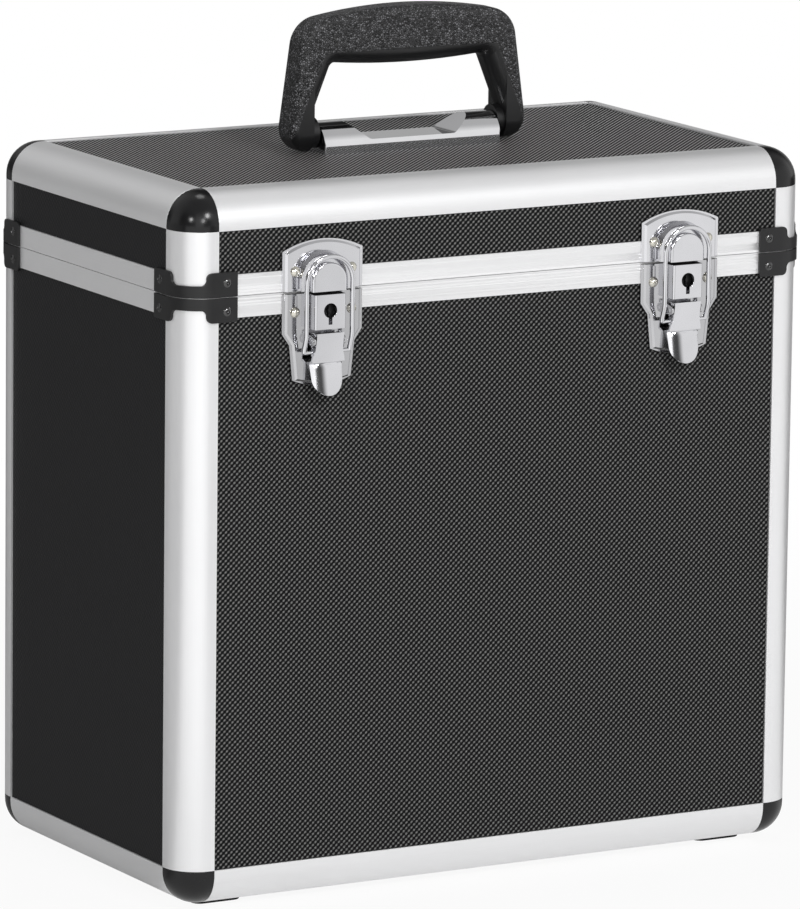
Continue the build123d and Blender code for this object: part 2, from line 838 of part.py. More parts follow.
def lever_outline():
    # front view: straight neck, flared shoulders and a round tip
    tip_centre = lever_tip + lever_tab_half
    points = [(-lever_neck_half, lever_top), (-lever_neck_half, lever_neck_bottom),
              (-lever_tab_half, lever_bend), (-lever_tab_half, tip_centre)]
    left = Polyline(*points)
    right = Polyline(*[(-x, z) for x, z in points])
    top = Line(points[0], (lever_neck_half, lever_top))
    tip = ThreePointArc(points[-1], (0, lever_tip), (lever_tab_half, tip_centre))
    return make_face(Curve() + [left, right, top, tip])


def cheek(place):
    inner = lever_neck_half - lever_cheek_wall
    slope = (lever_top_out - lever_bend_out) / (lever_top - lever_bend)
    low_out = lever_top_out - slope * (lever_top - lever_cheek_bottom)
    outline = make_face(Polyline(
        (lever_top_out - lever_wall / 2, lever_top), (low_out - lever_wall / 2,
                                                      lever_cheek_bottom),
        (lever_cheek_back, lever_cheek_bottom), (lever_cheek_back, lever_top), close=True))
    back = [v for v in outline.vertices() if abs(v.X - lever_cheek_back) < 0.01]
    outline = fillet(back, lever_cheek_wall)
    plate = extrude(side_view * outline, -lever_cheek_wall)
    plate = Pos(inner, 0, 0) * plate
    return plate if place > 0 else mirror(plate, about=Plane.YZ)


def lever(side):
    piece = (lever_neck() + lever_tab()) & extrude(lever_outline(), 2 * lever_top_out)
    for place in (-1, 1):
        piece += cheek(place)
    bore = Pos(0, lever_pivot, lever_pivot_out) * Rot(0, 90, 0)
    piece -= bore * Cylinder(lever_pin_radius + running_clearance, 2 * latch_half)
    bore = Pos(0, hoop_pivot, hoop_pivot_out) * Rot(0, 90, 0)
    piece -= bore * Cylinder(hoop_pin_radius + running_clearance, 2 * latch_half)
    return latch_plane(side).location * piece


def lever_pin(side):
    half = lever_neck_half + ear_gap + ear_wall
    pin = Pos(0, lever_pivot, lever_pivot_out) * Rot(0, 90, 0) * Cylinder(lever_pin_radius,
                                                                          2 * half)
    return latch_plane(side).location * pin


def hoop(side):
    # inverted U in front of the catch; its legs bend back to the pins on the lever
    low = hoop_pivot - hoop_leg_end
    loop = arch(hoop_outer, hoop_centre, low) - arch(hoop_inner, hoop_centre, low - cut_margin)
    front = hoop_back + hoop_wall
    leg_back = hoop_pivot_out - hoop_wall / 2
    leg_front = hoop_pivot_out + hoop_wall / 2
    top = hoop_centre + hoop_outer + cut_margin
    knee = hoop_pivot + hoop_leg_end
    band = make_face(Polyline(
        (front, top), (front, hoop_bend_top), (leg_front, knee), (leg_front, low),
        (leg_back, low), (leg_back, knee), (hoop_back, hoop_bend_top), (hoop_back, top),
        close=True))
    inner_bends = [v for v in band.vertices() if low + 0.01 < v.Y < top - 0.01]
    band = fillet(inner_bends, hoop_wall)
    piece = extrude(loop, 2 * front) & across(band, 2 * hoop_outer)
    for place in (-1, 1):
        middle = place * (hoop_inner + hoop_pin_reach) / 2
        length = hoop_inner - hoop_pin_reach + 2 * hoop_round
        piece += Pos(middle, hoop_pivot, hoop_pivot_out) * Rot(0, 90, 0) * Cylinder(
            hoop_pin_radius, length)
    return latch_plane(side).location * piece


def saddle_section(radius, height):
    # round-topped section of the handle bracket, in a plane across X
    straight = height - radius
    section = Pos(0, straight / 2) * Rectangle(2 * radius, straight)
    dome = Circle(radius) & Pos(0, radius / 2) * Rectangle(2 * radius, radius)
    return section + Pos(0, straight) * dome


def trough(grow):
    # the low middle of the bracket, drawn from the front
    low = trough_height - grow
    reach = saddle_height + cut_margin
    slope = (trough_top_half - trough_half) / (saddle_height - trough_height)
    over = trough_top_half + grow + slope * cut_margin
    outline = make_face(Polyline((-over, reach), (-trough_half - grow, low),
                                 (trough_half + grow, low), (over, reach), close=True))
    bottom = [v for v in outline.vertices() if v.Y < reach - 0.01]
    outline = fillet(bottom, trough_round)
    upright = Plane(origin=(0, 0, 0), x_dir=(1, 0, 0), z_dir=(0, -1, 0))
    return extrude(upright * outline, 2 * saddle_radius, both=True)


def handle_bracket():
    upright = Plane(origin=(0, 0, 0), x_dir=(0, 1, 0), z_dir=(1, 0, 0))
    outer = extrude(upright * saddle_section(saddle_radius, saddle_height),
                    bracket_half_length, both=True) - trough(0)
    plan = RectangleRounded(2 * bracket_half_length, 2 * saddle_radius, saddle_end_round)
    outer &= extrude(plan, saddle_height)
    inner_height = saddle_height - saddle_wall
    inner = extrude(upright * saddle_section(saddle_radius - saddle_wall, inner_height),
                    bracket_half_length - saddle_end_wall, both=True) - trough(saddle_wall)
    shell = outer - inner
    posts = Part()
    for x, y in handle_screw_places():
        posts += Pos(x, y, 0) * Cylinder(handle_boss_radius, saddle_height,
                                         align=(Align.CENTER, Align.CENTER, Align.MIN))
    shell += posts & outer
    for x, y in handle_screw_places():
        shell -= Pos(x, y, 0) * Cylinder(handle_screw_radius + shank_clearance,
                                         2 * handle_screw_bite)
    wall_middle = bracket_half_length - saddle_end_wall / 2
    for place in (-1, 1):
        spot = Pos(place * wall_middle, 0, handle_pivot_rise)
        shell -= spot * Rot(0, 90, 0) * Cylinder(pivot_pin_radius + shank_clearance,
                                                 saddle_end_wall + 2 * cut_margin)
    return Pos(0, 0, panel_top_z) * shell


def bracket_screws():
    screws = []
    inside = panel_thickness
    for x, y in handle_screw_places():
        upright = (Align.CENTER, Align.CENTER, Align.MIN)
        shank = Pos(0, 0, -inside) * Cylinder(handle_screw_radius, inside + handle_screw_bite,
                                              align=upright)
        head = Pos(0, 0, -inside - handle_screw_head_height) * Cylinder(
            handle_screw_head_radius, handle_screw_head_height, align=upright)
        screws.append(Pos(x, y, panel_top_z) * (shank + head))
    return screws


def handle_pivots():
    pins = []
    inner = bracket_half_length - saddle_end_wall
    outer = grip_boss_inner + pivot_pin_reach
    for sign in (-1, 1):
        place = Pos(sign * (inner + outer) / 2, 0, handle_pivot_z) * Rot(0, 90, 0)
        pins.append(place * Cylinder(pivot_pin_radius, outer - inner))
    return pins


def grip_outline():
    # front view of the handle, from its pivot line
    leg = grip_leg_inner
    heel = -grip_thickness / 2
    crown = ThreePointArc((-grip_shoulder_half, grip_shoulder_rise), (0, grip_top_rise),
                          (grip_shoulder_half, grip_shoulder_rise))
    rest = Polyline((grip_shoulder_half, grip_shoulder_rise), (grip_half, heel), (leg, heel),
                    (leg, grip_leg_rise), (grip_inner_half, grip_inner_rise))
    belly = ThreePointArc((grip_inner_half, grip_inner_rise), (0, grip_belly_rise),
                          (-grip_inner_half, grip_inner_rise))
    other = Polyline((-grip_inner_half, grip_inner_rise), (-leg, grip_leg_rise), (-leg, heel),
                     (-grip_half, heel), (-grip_shoulder_half, grip_shoulder_rise))
    outline = make_face(Curve() + [crown, rest, belly, other])
    heels = [v for v in outline.vertices()
             if abs(abs(v.X) - grip_half) < 0.01 and v.Y < heel + 0.01]
    outline = fillet(heels, grip_heel_round)
    shoulders = [v for v in outline.vertices()
                 if abs(abs(v.X) - grip_shoulder_half) < 0.01 and v.Y > 0]
    outline = fillet(shoulders, grip_shoulder_round)
    corners = [v for v in outline.vertices()
               if abs(abs(v.X) - grip_inner_half) < 0.01 and v.Y > 0]
    return fillet(corners, grip_inner_round)


def face_edges(body, depth):
    # the edges of the front and back faces
    return [edge for edge in body.edges() if all(abs(abs(v.Y) - depth) < 0.01
                                                 for v in (edge @ 0, edge @ 0.5, edge @ 1))]


def handle_grip():
    # the front view is thickened and softened; the heels turn about the pivot
    front = Plane(origin=(0, 0, 0), x_dir=(1, 0, 0), z_dir=(0, -1, 0))
    half = grip_thickness / 2
    body = extrude(front * grip_outline(), half, both=True)
    fingers = [e for e in face_edges(body, half) if abs((e @ 0.5).X) < grip_leg_inner - 0.01
               and (e @ 0.5).Z < grip_inner_rise]
    body = fillet(fingers, grip_finger_round)
    outside = [e for e in face_edges(body, half) if (e @ 0.5).Z > grip_inner_rise
               or abs((e @ 0.5).X) > grip_shoulder_half]
    body = fillet(outside, grip_edge_round)
    side = Pos(0, grip_top_rise / 2) * Rectangle(grip_thickness, grip_top_rise) + Circle(half)
    across_plane = Plane(origin=(0, 0, 0), x_dir=(0, 1, 0), z_dir=(1, 0, 0))
    body &= extrude(across_plane * side, grip_half + cut_margin, both=True)
    boss_length = grip_boss_length + grip_boss_sink
    for sign in (-1, 1):
        middle = sign * (grip_boss_inner + boss_length / 2)
        body += Pos(middle, 0, 0) * Rot(0, 90, 0) * Cylinder(grip_boss_radius, boss_length)
    bore_reach = grip_boss_inner + pivot_pin_reach + part_gap
    body -= Rot(0, 90, 0) * Cylinder(pivot_pin_radius + running_clearance, 2 * bore_reach)
    return Pos(0, 0, handle_pivot_z) * body


shell_pieces("base", base_tub, base_place, -1)
shell_pieces("lid", lid_tub, lid_place, 1)
save("base_bottom_panel", [bottom_panel()])
save("base_bottom_edges", base_edges())
save("base_lining", lining(base_tub, base_place, floor_lining()))
save("feet", quadrants(foot()))
save("foot_screws", quadrants(foot_screw()))
save("lid_top_panel", [top_panel()])
for wall in walls:
    save(f"lid_top_edge_{wall}", [lid_edge(wall)])
save("lid_lining", lid_lining())
save("base_hinge_leaves", hinge_leaves(-1))
save("lid_hinge_leaves", hinge_leaves(1))
save("hinge_pins", hinge_pins())
for side in latch_sides:
    save(f"catch_{side}", [catch(side)])
    save(f"latch_plate_{side}", [latch_plate(side)])
    save(f"lock_housing_{side}", [lock_housing(side)])
    save(f"lock_core_{side}", [lock_core(side)])
    save(f"lever_{side}", [lever(side)])
    save(f"hoop_{side}", [hoop(side)])
save("lever_pins", [lever_pin(side) for side in latch_sides])
save("handle_bracket", [handle_bracket()])
save("bracket_screws", bracket_screws())
save("handle_pivots", handle_pivots())
save("handle_grip", [handle_grip()])
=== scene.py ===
import json
import math
import bpy
import bmesh
from mathutils import Matrix, Vector


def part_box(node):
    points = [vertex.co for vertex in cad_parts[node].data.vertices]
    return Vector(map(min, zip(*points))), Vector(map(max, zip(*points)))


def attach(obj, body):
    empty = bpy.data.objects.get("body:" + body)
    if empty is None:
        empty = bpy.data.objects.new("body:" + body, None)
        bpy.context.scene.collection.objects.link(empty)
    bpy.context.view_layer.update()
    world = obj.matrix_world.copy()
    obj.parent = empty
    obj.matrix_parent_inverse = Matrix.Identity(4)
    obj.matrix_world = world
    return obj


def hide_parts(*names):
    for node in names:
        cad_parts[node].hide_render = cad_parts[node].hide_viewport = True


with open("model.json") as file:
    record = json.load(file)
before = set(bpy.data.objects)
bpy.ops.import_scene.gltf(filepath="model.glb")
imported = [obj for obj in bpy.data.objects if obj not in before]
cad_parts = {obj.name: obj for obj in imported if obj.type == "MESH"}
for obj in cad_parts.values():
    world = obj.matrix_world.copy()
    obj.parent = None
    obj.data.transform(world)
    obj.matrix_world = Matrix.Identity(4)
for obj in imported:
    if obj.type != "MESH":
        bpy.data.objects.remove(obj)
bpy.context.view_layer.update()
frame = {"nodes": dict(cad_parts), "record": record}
nodes = frame["nodes"]
bodyOf = {}
for bodyName, members in frame["record"]["behaviour"]["bodies"].items():
    for member in members:
        bodyOf[member] = bodyName
scene = bpy.context.scene
mm = 0.001


def corners(nodeName):
    # lowest and highest corner of a solid, in mm
    return [[round(value / mm, 2) for value in corner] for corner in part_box(nodeName)]


# driving places, in mm, taken from the solids
seam = (corners("base_back_belt")[1][2] + corners("lid_back_belt")[0][2]) / 2
beltFace = corners("lid_back_belt")[1][1]    # how far out the front and back belts stand
latchMiddle = (corners("catch_right")[0][0] + corners("catch_right")[1][0]) / 2
print("frame loaded")


# camera, lamps and floor
camera = {
    "place": (-2.070234, -3.642619, 1.021272),
    "azimuth": -29.625,
    "elevation": 10.927,
    "roll": 0.679,
    "lens": 311.7,
    "farEnd": 60,
}


def towards(azimuth, elevation):
    # direction from the case: azimuth 0 is straight before it, 90 is at its right
    around, above = math.radians(azimuth), math.radians(elevation)
    return Vector((math.sin(around) * math.cos(above),
                   -math.cos(around) * math.cos(above), math.sin(above)))


def setCamera(look):
    roll = math.radians(look["roll"])
    back = towards(look["azimuth"], look["elevation"])
    right = Vector((0, 0, 1)).cross(back).normalized()
    up = back.cross(right)
    turnedRight = right * math.cos(roll) + up * math.sin(roll)
    turnedUp = up * math.cos(roll) - right * math.sin(roll)
    turn = Matrix((turnedRight, turnedUp, back)).transposed().to_4x4()
    lensData = bpy.data.cameras.new("camera")
    lensData.lens = look["lens"]
    lensData.clip_end = look["farEnd"]
    cameraObject = bpy.data.objects.new("camera", lensData)
    cameraObject.matrix_world = Matrix.Translation(look["place"]) @ turn
    scene.collection.objects.link(cameraObject)
    scene.camera = cameraObject


def tone(code):
    # a colour as it is written, turned into the linear values that a shader takes
    values = [int(code[i:i + 2], 16) / 255 for i in (1, 3, 5)]
    return tuple(v / 12.92 if v <= 0.04045 else ((v + 0.055) / 1.055) ** 2.4 for v in values) + (1,)


def shaded(colour, times, more=0.0):
    # the same colour, paler or dimmer
    return tuple(min(1, times * v + more) for v in colour[:3]) + (1,)


# A shader socket that can stand in a sum. Every operator adds its Math node.
class Wire:
    def __init__(self, finish, socket):
        self.finish = finish
        self.socket = socket

    def maths(self, operation, *values, **settings):
        sockets = {i: v for i, v in enumerate((self,) + values)}
        return self.finish.add("Math", {"operation": operation, **settings}, sockets)

    def __add__(self, other):
        return self.maths("ADD", other)

    def __sub__(self, other):
        return self.maths("SUBTRACT", other)

    def __rsub__(self, other):
        return (self * -1.0) + other

    def __mul__(self, other):
        return self.maths("MULTIPLY", other)

    __radd__ = __add__
    __rmul__ = __mul__

    def cosine(self):
        return self.maths("COSINE")

    def clamped(self):
        return self.maths("ADD", 0.0, use_clamp=True)

    def ramp(self, low, high):
        return self.finish.add("MapRange", {"interpolation_type": "SMOOTHSTEP"},
                               {"Value": self, "From Min": low, "From Max": high})


# A material or the world. Every node but its own comes from add.
class Finish:
    def __init__(self, name, owner=None):
        self.owner = owner or bpy.data.materials.new(name)
        self.owner.use_nodes = True
        self.tree = self.owner.node_tree
        self.tree.nodes.clear()

    def add(self, kind, settings=None, sockets=None, out=0):
        node = self.tree.nodes.new("ShaderNode" + kind)
        for key, value in (settings or {}).items():
            setattr(node, key, value)
        for key, value in (sockets or {}).items():
            if isinstance(value, Wire):
                self.tree.links.new(value.socket, node.inputs[key])
            else:
                node.inputs[key].default_value = value
        return Wire(self, node.outputs[out]) if len(node.outputs) else None

    def place(self):
        return self.add("TexCoord", out="Object")

    def split(self, vector):
        first = self.add("SeparateXYZ", None, {"Vector": vector})
        return [Wire(self, socket) for socket in first.socket.node.outputs]

    def axes(self):
        return self.split(self.place())

    def noise(self, scale, detail=3.0, roughness=0.5, vector=None):
        return self.add("TexNoise", None, {"Vector": vector or self.place(), "Scale": scale,
                                           "Detail": detail, "Roughness": roughness})

    def mixed(self, mask, first, second):
        # the colour sockets of Mix share their names, so they go by number
        return self.add("Mix", {"data_type": "RGBA"}, {0: mask, 6: first, 7: second}, out=2)

    def bump(self, height, distance, strength):
        return self.add("Bump", None, {"Height": height, "Distance": distance,
                                       "Strength": strength})

    def close(self, **sockets):
        named = {key.replace("_", " "): value for key, value in sockets.items()}
        surface = self.add("BsdfPrincipled", None, named)
        self.add("OutputMaterial", None, {"Surface": surface})
        return self.owner


white = (1, 1, 1, 1)
studio = {
    "ambient": 0.36,           # lights the object evenly from all round
    "dark": 0.08,              # the rest is what metal and gloss see
    # screens: azimuth, half width, soft edge, level
    "wallScreens": ((60, 36, 22, 0.92), (142, 18, 20, 0.35), (-27, 10, 6, 1.3),
                    (-118, 12, 16, 0.6)),
    "floorScreens": ((52, 20, 18, 0.95), (140, 16, 20, 0.3), (-31, 34, 12, 1.13),
                     (-110, 18, 20, 0.35), (-152, 14, 8, 0.2)),
    "floorMiddle": (-0.14, 0.02),
    "nearFront": 0.95,         # the floor close to the case, before it and beside it
    "nearSides": 0.3,
    "nearReach": (0.3, 0.7),   # where the near floor gives way to the screens
    "frontEdge": (-0.105, -0.05),
    "ceilingLeft": 0.4,
    "ceilingRight": 0.55,
    "ceilingBackLeft": 0.6,
    "ceilingBackRight": 0.02,
    "ceilingStart": (0.35, 0.75),
    "backDrop": 0.2,           # how much lower the ceiling starts at the back
    "backStart": (0.0, 0.45),
    "rightStart": (-0.2, 0.4),
    "floorSize": 30,
    "floorColour": 0.8,
    "floorGlow": 0.92,         # share of plain white over the floor's shadow, near the case
    "glowReach": (0.3, 1.1),
    "aim": (0, 0, 0.2),
}

lamps = {                      # azimuth, elevation, distance, size, power
    "left": (-56, 20, 4.2, 0.7, 32),
    "front": (-15, 17, 4.2, 0.7, 26),
    "key": (1, 32, 4.2, 0.9, 62),
    "top": (150, 76, 3.2, 1.0, 10),
}


def seenRays(finish):
    # 1 for what the camera, metal and glass see, 0 for what lights a matt surface
    camera, glossy, through = (finish.add("LightPath", out=f"Is {kind} Ray")
                               for kind in ("Camera", "Glossy", "Transmission"))
    return camera, (camera + glossy + through).clamped()


def screened(right, back, dark, screens):
    # level of the room all round
    around = right.maths("ARCTAN2", back * -1.0)
    level = dark
    for azimuth, half, soft, strength in screens:
        away = (around - math.radians(azimuth)).maths("ABSOLUTE")
        edge = away.ramp(math.radians(half), math.radians(half + soft))
        level = (1 - edge) * strength + level
    return level


def setWorld(look):
    world = scene.world or bpy.data.worlds.new("studio")
    scene.world = world
    air = Finish("studio", world)
    camera, seen = seenRays(air)
    axes = air.split(air.add("TexCoord", out="Generated"))
    behind = axes[1].ramp(*look["backStart"])
    height = (behind * look["backDrop"] + axes[2]).ramp(*look["ceilingStart"])
    right = axes[0].ramp(*look["rightStart"])
    front = right * (look["ceilingRight"] - look["ceilingLeft"]) + look["ceilingLeft"]
    back = right * (look["ceilingBackRight"] - look["ceilingBackLeft"]) + look["ceilingBackLeft"]
    ceiling = front * (1 - behind) + behind * back
    wall = screened(axes[0], axes[1], look["dark"], look["wallScreens"])
    room = wall * (1 - height) + height * ceiling
    shown = room * (1 - camera) + camera
    quiet = air.add("Background", None, {"Color": white, "Strength": look["ambient"]})
    bright = air.add("Background", None, {"Color": white, "Strength": shown})
    both = air.add("MixShader", None, {0: seen, 1: quiet, 2: bright})
    air.add("OutputWorld", None, {"Surface": both})


def setLamps(look):
    for name, (azimuth, elevation, distance, size, power) in lamps.items():
        lamp = bpy.data.lights.new(name, "AREA")
        lamp.shape = "DISK"
        lamp.size = size
        lamp.energy = power
        outward = towards(azimuth, elevation)
        lampObject = bpy.data.objects.new(name, lamp)
        lampObject.location = Vector(look["aim"]) + outward * distance
        lampObject.rotation_euler = outward.to_track_quat("Z", "Y").to_euler()
        scene.collection.objects.link(lampObject)


def layFloor(look):
    bpy.ops.mesh.primitive_plane_add(size=look["floorSize"], location=(0, 0, 0))
    floor = bpy.context.object
    floor.name = "floor"
    paint = Finish("floorPaint")
    camera, seen = seenRays(paint)
    axes = paint.axes()
    middle = look["floorMiddle"]
    level = screened(axes[0] - middle[0], axes[1] - middle[1], look["dark"],
                     look["floorScreens"])
    distance = (axes[0] * axes[0] + axes[1] * axes[1]).maths("SQRT")
    far = distance.ramp(*look["nearReach"])
    beside = axes[1].ramp(*look["frontEdge"])
    near = beside * (look["nearSides"] - look["nearFront"]) + look["nearFront"]
    shown = (level * far + (1 - far) * near) * (1 - camera) + camera
    grey = (look["floorColour"],) * 3 + (1,)
    matt = paint.add("BsdfDiffuse", None, {"Color": grey})
    glow = paint.add("Emission", None, {"Color": white, "Strength": shown})
    cover = distance.ramp(*look["glowReach"]) * (1 - look["floorGlow"]) + look["floorGlow"]
    both = paint.add("MixShader", None, {0: seen * cover, 1: matt, 2: glow})
    paint.add("OutputMaterial", None, {"Surface": both})
    floor.data.materials.append(paint.owner)


scene.view_settings.view_transform = "Standard"
setCamera(camera)
setWorld(studio)
setLamps(studio)
layFloor(studio)
print("camera and studio set")


# black laminate: pale embossed dots that run together along one diagonal
laminate = {
    "acrossPitch": 3.15 * mm,
    "rowPitch": 3.04 * mm,
    "twill": 0.62,             # how much the dots run together
    "dotStart": -0.1,
    "dotEnd": 0.95,
    "ground": "#101011",
    "dot": "#767675",
    # share of the dots' paleness that shows; the side copy lowers it as painted shade
    "dotsShown": 1.0,
    "wearGrain": 900.0,        # the dots' paleness changes by this grain,
    "leastWorn": 0.75,         # from this share
    "wear": 0.5,               # by this much
    "emboss": 0.1 * mm,
    "embossed": 0.6,
    "gloss": 0.06,
    "rough": 0.42,
    "patchGrain": 9.0,
    "patchRough": 0.12,
}
# a copy for the top and bottom: its paler dots on a darker ground are a painted highlight of the
# dots catching the light
laminateTopPaintedHighlight = {**laminate, "acrossPitch": 3.04 * mm, "rowPitch": 3.12 * mm, "twill": 0.74,
               "dotStart": 0.25, "dot": "#d9d9d9", "ground": "#050505", "gloss": 0.03}
# a copy for the sides: the dots are hidden as painted shade and the ground is painted paler for how
# the side is lit
laminateSidePaintedLight = {**laminate, "dotsShown": 0.05, "ground": "#272728"}


def laminateFinish(name, plane, look):
    finish = Finish(name)
    axes = dict(zip("XYZ", finish.axes()))
    u = axes[plane[0]] * (2 * math.pi / look["acrossPitch"])
    v = axes[plane[1]] * (2 * math.pi / look["rowPitch"])
    wave = (u - v).cosine() * look["twill"] + (u + v).cosine() * (1 - look["twill"])
    dots = wave.ramp(look["dotStart"], look["dotEnd"])
    patchy = finish.noise(look["patchGrain"], 4.0)
    worn = finish.noise(look["wearGrain"], 2.0) * look["wear"] + look["leastWorn"]
    # the dots' paleness, lowered on the sides as painted shade
    mask = dots * worn * look["dotsShown"]
    colour = finish.mixed(mask.clamped(), tone(look["ground"]), tone(look["dot"]))
    normal = finish.bump(wave, look["emboss"], look["embossed"])
    return finish.close(Base_Color=colour, Roughness=look["rough"] + patchy * look["patchRough"],
                        Normal=normal, Specular_IOR_Level=look["gloss"])


# satin aluminium, with fine streaks along its profile
aluminium = {
    "colour": "#eeeeef",
    "dim": 0.93,               # of the colour, between the streaks
    "metal": 0.58,
    "streak": 0.02 * mm,
    "streaked": 0.35,
    "grain": 2600.0,
    "stretch": 0.012,          # of the grain, along the profile
    "cloudGrain": 14.0,
    "grainShare": 0.6,         # of the grain and of the cloud in the colour
    "cloudShare": 0.3,
    "rough": 0.34,
    "cloudRough": 0.1,
}


def aluminiumFinish(name, along, look):
    finish = Finish(name)
    stretch = [look["stretch"] if letter == along else 1.0 for letter in "XYZ"]
    vector = finish.add("Mapping", None, {"Vector": finish.place(), "Scale": stretch})
    grain = finish.noise(look["grain"], 2.0, 0.6, vector)
    cloud = finish.noise(look["cloudGrain"])
    pale = tone(look["colour"])
    mask = grain * look["grainShare"] + cloud * look["cloudShare"]
    colour = finish.mixed(mask, shaded(pale, look["dim"]), pale)
    normal = finish.bump(grain, look["streak"], look["streaked"])
    return finish.close(Base_Color=colour, Metallic=look["metal"], Normal=normal,
                        Roughness=look["rough"] + cloud * look["cloudRough"])


# black paint and moulded black parts
paint = {
    "cloudGrain": 120.0,
    "worn": (1.5, 0.004),      # a worn place is this many times as pale, and this much more
    "wear": 0.7,
    "cloudRough": 0.12,
    "peelGrain": 1500.0,
    "peeled": 0.5,
}
paints = {                     # colour, roughness, gloss, depth of its orange peel
    "cornerBlack": ("#121213", 0.14, 0.32, 0.02 * mm),
    "bracketBlack": ("#131314", 0.36, 0.38, 0.04 * mm),
    "rivetBlack": ("#050506", 0.08, 1.0, 0.0),
    # the next finish is painted shade for the level walls inside the latch gaps
    "gapPaintedShade": ("#0d0d0e", 0.5, 0.3, 0.0),
    # the lock core is painted near black: painted shade for the inside of its keyhole
    "lockPaintedShade": ("#0a0a0a", 0.35, 0.3, 0.02 * mm),
    "rubber": ("#161616", 0.75, 0.3, 0.08 * mm),
}


def paintedFinish(name, colour, rough, gloss, peel, look):
    finish = Finish(name)
    cloud = finish.noise(look["cloudGrain"])
    fine = finish.noise(look["peelGrain"], 2.0)
    base = tone(colour)
    shade = finish.mixed(cloud * look["wear"], base, shaded(base, *look["worn"]))
    normal = finish.bump(fine, peel, look["peeled"])
    return finish.close(Base_Color=shade, Roughness=rough + cloud * look["cloudRough"],
                        Normal=normal, Specular_IOR_Level=gloss)


# chrome and bare metal
plating = {
    "dim": 0.86,               # of the colour, where it is smeared
    "smearGrain": 60.0,
    "smearRough": 0.05,
    "waveGrain": 25.0,
    "wave": 0.4 * mm,
    "waved": 0.12,
}
platings = {                   # colour, roughness, share of metal
    "chrome": ("#dadadd", 0.07, 1.0),
    # a dimmer copy of chrome for the latch plates: painted shade
    "chromePlateShaded": ("#c0c0c2", 0.08, 1.0),
    "mirror": ("#e2e2e4", 0.02, 1.0),
    "rivetBright": ("#d9d6cb", 0.14, 0.9),
    "steel": ("#b9b9bb", 0.28, 1.0),
}


def platedFinish(name, colour, rough, metal, look):
    finish = Finish(name)
    smear = finish.noise(look["smearGrain"], 4.0)
    wave = finish.noise(look["waveGrain"], 2.0)
    base = tone(colour)
    shade = finish.mixed(smear, shaded(base, look["dim"]), base)
    normal = finish.bump(wave, look["wave"], look["waved"])
    return finish.close(Base_Color=shade, Metallic=metal, Normal=normal,
                        Roughness=smear * look["smearRough"] + rough)


# pebbled black plastic of the grip, smooth under the bar and inside the feet of its legs
grain = {
    "colour": "#101011",
    # the pale colour of the pebbles is a painted highlight
    "high": "#7b7b7e",
    "cell": 860.0,
    "pebble": (0.02, 0.3),     # from a cell's edge to the flat of its pebble
    "depth": 0.4 * mm,
    "embossed": 0.9,
    "sparkle": 0.1,            # share of the pebbles left without a painted highlight
    "smoothUnder": 436.2 * mm,    # below this height the bar is smooth
    "legInside": 67.7 * mm,    # within this the legs are smooth, at their foot
    "legFoot": 399.7 * mm,
    "legSlope": 0.408,
    "blend": 0.8 * mm,
    "rough": 0.36,
    "pebbleRough": 0.06,
    "gloss": 0.5,
}


def gripFinish(name, look):
    finish = Finish(name)
    axes = finish.axes()
    edges = finish.add("TexVoronoi", {"feature": "DISTANCE_TO_EDGE"},
                       {"Vector": finish.place(), "Scale": look["cell"]})
    chance = finish.add("TexVoronoi", {"feature": "F1"},
                        {"Vector": finish.place(), "Scale": look["cell"]}, out="Color")
    luck = finish.split(chance)[0]
    pebble = edges.ramp(*look["pebble"])
    rise = (axes[2] - look["legFoot"]) * look["legSlope"]
    outside = axes[0].maths("ABSOLUTE") + rise - look["legInside"]
    inner = 1 - outside.ramp(-look["blend"], look["blend"])
    under = 1 - axes[2].ramp(look["smoothUnder"] - look["blend"],
                             look["smoothUnder"] + look["blend"])
    grained = 1 - (inner * under).clamped()
    # pale specks on the pebbles: painted highlights
    paintedGlints = luck.ramp(look["sparkle"], 1.0) * pebble * grained
    shade = finish.mixed(paintedGlints, tone(look["colour"]), tone(look["high"]))
    normal = finish.bump(pebble * grained, look["depth"], look["embossed"])
    return finish.close(Base_Color=shade, Roughness=look["rough"] + grained * look["pebbleRough"],
                        Normal=normal, Specular_IOR_Level=look["gloss"])


felt = {
    "colour": "#1c1c1f",
    "pale": (1.8, 0.004),      # a fibre is this many times as pale, and this much more
    "fibreGrain": 1900.0,
    "patchGrain": 30.0,
    "fibreShare": 0.7,
    "patchShare": 0.3,
    "depth": 0.4 * mm,
    "raised": 0.8,
    "rough": 0.95,
    "sheen": 0.4,
    "sheenRough": 0.5,
}


def feltFinish(name, look):
    finish = Finish(name)
    fibre = finish.noise(look["fibreGrain"], 4.0, 0.7)
    patch = finish.noise(look["patchGrain"])
    base = tone(look["colour"])
    mask = fibre * look["fibreShare"] + patch * look["patchShare"]
    shade = finish.mixed(mask.clamped(), base, shaded(base, *look["pale"]))
    normal = finish.bump(fibre, look["depth"], look["raised"])
    return finish.close(Base_Color=shade, Roughness=look["rough"], Normal=normal,
                        Sheen_Weight=look["sheen"], Sheen_Roughness=look["sheenRough"])


finishes = {
    "panelFront": laminateFinish("panelFront", "XZ", laminate),
    "panelSide": laminateFinish("panelSide", "YZ", laminateSidePaintedLight),
    "panelTop": laminateFinish("panelTop", "XY", laminateTopPaintedHighlight),
    "grip": gripFinish("grip", grain),
    "felt": feltFinish("felt", felt),
}
for along in "XYZ":
    finishes["aluminium" + along] = aluminiumFinish("aluminium" + along, along, aluminium)
for name, values in paints.items():
    finishes[name] = paintedFinish(name, *values, paint)
for name, values in platings.items():
    finishes[name] = platedFinish(name, *values, plating)
print("finishes made")


# how a copy of a solid is cleaned and its edges rounded, angles in degrees
rounding = {
    "weld": 0.002 * mm,        # points closer than this become one
    "flat": 0.6,               # faces that meet flatter than this become one
    "sharp": 30,               # edges sharper than this are rounded
    "smooth": 35,              # edges flatter than this are shaded smooth
}


